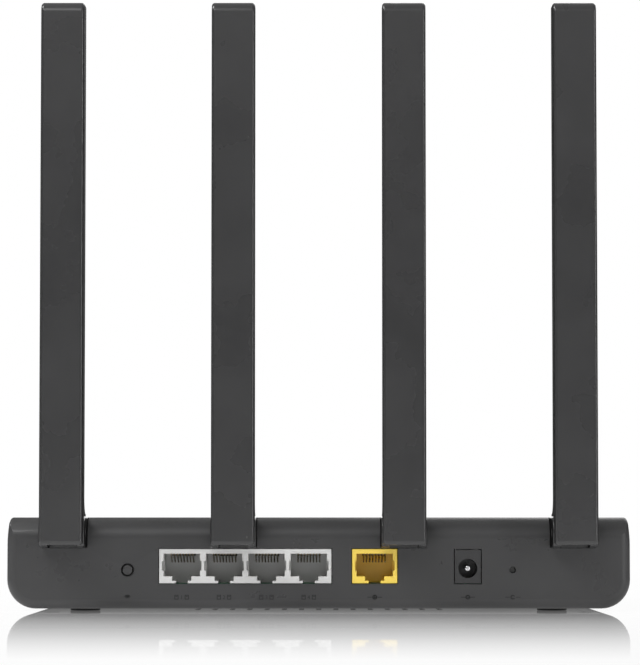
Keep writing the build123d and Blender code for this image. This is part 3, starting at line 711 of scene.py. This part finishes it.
def mark_lan(work, x):
    """A small socket sign on each side of the port's numeral."""
    half = MARK_HEIGHT / 2
    for side in (-1.7, 1.7):
        middle = x + side * MM
        left, right = middle - 0.55 * MM, middle + 0.55 * MM
        box = [(left, MARK_LEVEL - half), (right, MARK_LEVEL - half),
               (right, MARK_LEVEL + half), (left, MARK_LEVEL + half)]
        mark_stroke(work, box, STROKE, closed=True)
        dash(work, middle, -0.2, 0.2, MARK_LEVEL + 0.25 * MM)


def mark_wan(work, x):
    """A ring with a cross in it between two dashes."""
    half = MARK_HEIGHT / 2
    mark_stroke(work, ring(x, MARK_LEVEL, half), STROKE, closed=True)
    mark_stroke(work, [(x - half, MARK_LEVEL), (x + half, MARK_LEVEL)], STROKE)
    mark_stroke(work, [(x, MARK_LEVEL - half), (x, MARK_LEVEL + half)], STROKE)
    dash(work, x, -1.1, -2.3)
    dash(work, x, 1.1, 2.3)


def mark_power(work, x):
    """Polarity of the inlet: a line, a small ring and a line to its middle."""
    dash(work, x, -2.2, -0.8)
    mark_stroke(work, ring(x, MARK_LEVEL, 0.6 * MM), STROKE, closed=True)
    dash(work, x, -0.1, 2.2)


def mark_reset(work, x):
    """An open ring between two dashes."""
    mark_stroke(work, arc(x, MARK_LEVEL, 0.6 * MM, 16, 0.6, 5.0), STROKE)
    dash(work, x, -1.2, -2.4)
    dash(work, x, 1.2, 2.4)


def mark_button(work, x):
    """Three arcs, one over the other."""
    for radius in (0.35, 0.75, 1.15):
        mark_stroke(work, arc(x, MARK_LEVEL - 0.5 * MM, radius * MM, 10, 0.7, 1.75), STROKE)


def print_marks():
    """Numerals and plain signs under the sockets, the button and the reset hole."""
    wall_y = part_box("lan_jack")[0][1] - WALL_INSET
    work = bmesh.new()
    for port in LAN_PORTS:
        mark_lan(work, mounts[port].x)
    mark_wan(work, mounts["wan_port"].x)
    mark_power(work, mounts["power_inlet"].x)
    mark_reset(work, middle_x("reset_plunger"))
    mark_button(work, middle_x("wps_button"))
    bmesh.ops.translate(work, vec=(0.0, wall_y - INK, 0.0), verts=work.verts)
    for number, port in enumerate(LAN_PORTS, 1):
        numeral = digit_mesh(str(number), MARK_HEIGHT)
        place = (mounts[port].x, wall_y + INK * 2, MARK_LEVEL - MARK_HEIGHT / 2)
        numeral.transform(Matrix.Translation(place))
        work.from_mesh(numeral)
    bmesh.ops.recalc_face_normals(work, faces=work.faces)
    mesh = bpy.data.meshes.new("wall_marks")
    work.to_mesh(mesh)
    work.free()
    add_piece("wall_marks", mesh, "housing", slot_of_node["base_tub"], material="mark_ink")


# ------------------------------------------------------------------ studio
def area_light(name, place, target, size, power):
    """A white rectangular lamp that faces its target."""
    data = bpy.data.lights.new(name, "AREA")
    data.shape = "RECTANGLE"
    data.size, data.size_y = size
    data.energy = power
    light = bpy.data.objects.new(name, data)
    light.location = place
    light.rotation_euler = (Vector(target) - Vector(place)).to_track_quat("-Z", "Y").to_euler()
    scene.collection.objects.link(light)


def emission(tree, strength=1.0):
    node = tree.nodes.new("ShaderNodeEmission")
    node.inputs["Strength"].default_value = strength
    return node


def mix_shader(tree, factor, first, second):
    """Mix two shaders by a (node, socket) pair."""
    node = tree.nodes.new("ShaderNodeMixShader")
    wire(tree, factor[0], factor[1], node, 0)
    wire(tree, first, 0, node, 1)
    wire(tree, second, 0, node, 2)
    return node


def add_shader(tree, first, second):
    node = tree.nodes.new("ShaderNodeAddShader")
    wire(tree, first, 0, node, 0)
    wire(tree, second, 0, node, 1)
    return node


def studio_world():
    """Soft surroundings: light from overhead, dark at eye level, white where the lens looks."""
    world = bpy.data.worlds.new("studio")
    world.use_nodes = True
    scene.world = world
    tree = world.node_tree
    sky = tree.nodes["Background"]
    place = tree.nodes.new("ShaderNodeTexCoord")
    split = tree.nodes.new("ShaderNodeSeparateXYZ")
    wire(tree, place, "Generated", split, "Vector")
    height = remap(tree, (split, "Z"), 0.25, 1.0, 0.03, 0.5)
    wire(tree, height, "Result", sky, "Strength")
    white = tree.nodes.new("ShaderNodeBackground")
    white.inputs["Strength"].default_value = 1.0
    white.inputs["Color"].default_value = (1.0, 1.0, 1.0, 1.0)
    sky.inputs["Color"].default_value = (1.0, 1.0, 1.0, 1.0)
    rays = tree.nodes.new("ShaderNodeLightPath")
    behind = remap(tree, (split, "Y"), 0.9, 0.93)
    low = remap(tree, (split, "Z"), 0.25, 0.15)
    screen = math_node(tree, "MULTIPLY", (behind, "Result"), (low, "Result"))
    mirrored = math_node(tree, "MULTIPLY", (screen, 0), (rays, "Is Glossy Ray"))
    shown = math_node(tree, "MAXIMUM", (mirrored, 0), (rays, "Is Camera Ray"))
    chooser = mix_shader(tree, (shown, 0), sky, white)
    wire(tree, chooser, 0, tree.nodes["World Output"], "Surface")


# table top: distances in metres from the middle of the router
FLOOR_GREY = (0.32, 0.32, 0.32, 1.0)
FLOOR_GLOW = 0.62
BOUNCE_GLOW = 0.34
MIRROR_BLUR = 0.015
MIRROR_REACH = (-0.37, -0.06)  # the mirror grows from nothing to full along Y
MIRROR_SHARE = 0.9
FRONT_HALF = (0.1, -0.05)  # where the table starts to throw light back, along Y
WHITE_BEYOND = (0.25, 0.8)  # the table fades into pure white


def table_seen(tree, place, split):
    """What the lens sees: a pale sheet with a mirror near the router, white further off."""
    matt = tree.nodes.new("ShaderNodeBsdfDiffuse")
    matt.inputs["Color"].default_value = FLOOR_GREY
    gloss = tree.nodes.new("ShaderNodeBsdfGlossy")
    gloss.inputs["Color"].default_value = (1.0, 1.0, 1.0, 1.0)
    gloss.inputs["Roughness"].default_value = MIRROR_BLUR
    near = remap(tree, (split, "Y"), *MIRROR_REACH, 0.0, MIRROR_SHARE)
    slant = tree.nodes.new("ShaderNodeLayerWeight")
    grazing = remap(tree, (slant, "Facing"), 0.88, 0.95)
    mirror = math_node(tree, "MULTIPLY", (near, "Result"), (grazing, "Result"))
    distance = tree.nodes.new("ShaderNodeVectorMath")
    distance.operation = "LENGTH"
    wire(tree, place, "Object", distance, 0)
    far = remap(tree, (distance, "Value"), *WHITE_BEYOND)
    lit = add_shader(tree, matt, emission(tree, FLOOR_GLOW))
    mirrored = mix_shader(tree, (mirror, 0), lit, gloss)
    return mix_shader(tree, (far, "Result"), mirrored, emission(tree))


def table_bounce(tree, split):
    """What the router is lit by: a sheet that throws light back in front of it."""
    in_front = remap(tree, (split, "Y"), *FRONT_HALF)
    bounced = mix_colour(tree, (in_front, "Result"), (0.15, 0.15, 0.15), (0.85, 0.85, 0.85))
    dim = tree.nodes.new("ShaderNodeBsdfDiffuse")
    wire(tree, bounced, 2, dim, "Color")
    strength = math_node(tree, "MULTIPLY", (in_front, "Result"), BOUNCE_GLOW)
    glow = emission(tree)
    wire(tree, strength, 0, glow, "Strength")
    return add_shader(tree, dim, glow)


def studio_floor():
    """Pale table top with a clear gloss that mirrors what stands on it."""
    bpy.ops.mesh.primitive_plane_add(size=6.0, location=(0.0, 0.0, 0.0))
    table = bpy.context.object
    table.name = "table_top"
    material = bpy.data.materials.new("table_white")
    material.use_nodes = True
    tree = material.node_tree
    tree.nodes.remove(tree.nodes["Principled BSDF"])
    place = tree.nodes.new("ShaderNodeTexCoord")
    split = tree.nodes.new("ShaderNodeSeparateXYZ")
    wire(tree, place, "Object", split, "Vector")
    rays = tree.nodes.new("ShaderNodeLightPath")
    under = table_bounce(tree, split)
    seen = mix_shader(tree, (rays, "Is Camera Ray"), under, table_seen(tree, place, split))
    wire(tree, seen, 0, tree.nodes["Material Output"], "Surface")
    table.data.materials.append(material)


def studio_lights():
    middle = (0.0, -0.06, 0.1)
    area_light("key_left", (-0.35, -0.88, 0.78), middle, (0.5, 0.4), 2.5)
    area_light("front_panel", (0.2, -1.25, 0.64), (0.2, 0.0, 0.3), (1.4, 0.55), 1.5)
    area_light("top_box", (-0.75, -0.25, 1.0), middle, (0.5, 0.5), 9.0)
    area_light("right_strip", (1.0, -0.9, 0.3), middle, (0.16, 0.9), 4.0)
    area_light("back_box", (0.5, 1.4, 0.9), middle, (0.9, 0.9), 6.0)


CAMERA_TILT = 2.692  # degrees above level


def make_camera():
    """Level with the case's top and square to the socket side, tipped up a little."""
    data = bpy.data.cameras.new("camera")
    data.sensor_width = 36.0
    data.lens = 147.5
    data.shift_y = 0.09
    camera = bpy.data.objects.new("camera", data)
    camera.location = (0.45 * MM, -960.0 * MM, 30.0 * MM)
    camera.rotation_euler = (math.radians(90.0 + CAMERA_TILT), 0.0, 0.0)
    data.clip_start = 0.05
    data.clip_end = 20.0
    scene.collection.objects.link(camera)
    scene.camera = camera


finish_shells()
set_out_small_parts()
dress_nodes()
print_marks()
studio_world()
studio_floor()
studio_lights()
make_camera()
scene.view_settings.view_transform = "Standard"

bpy.context.view_layer.update()
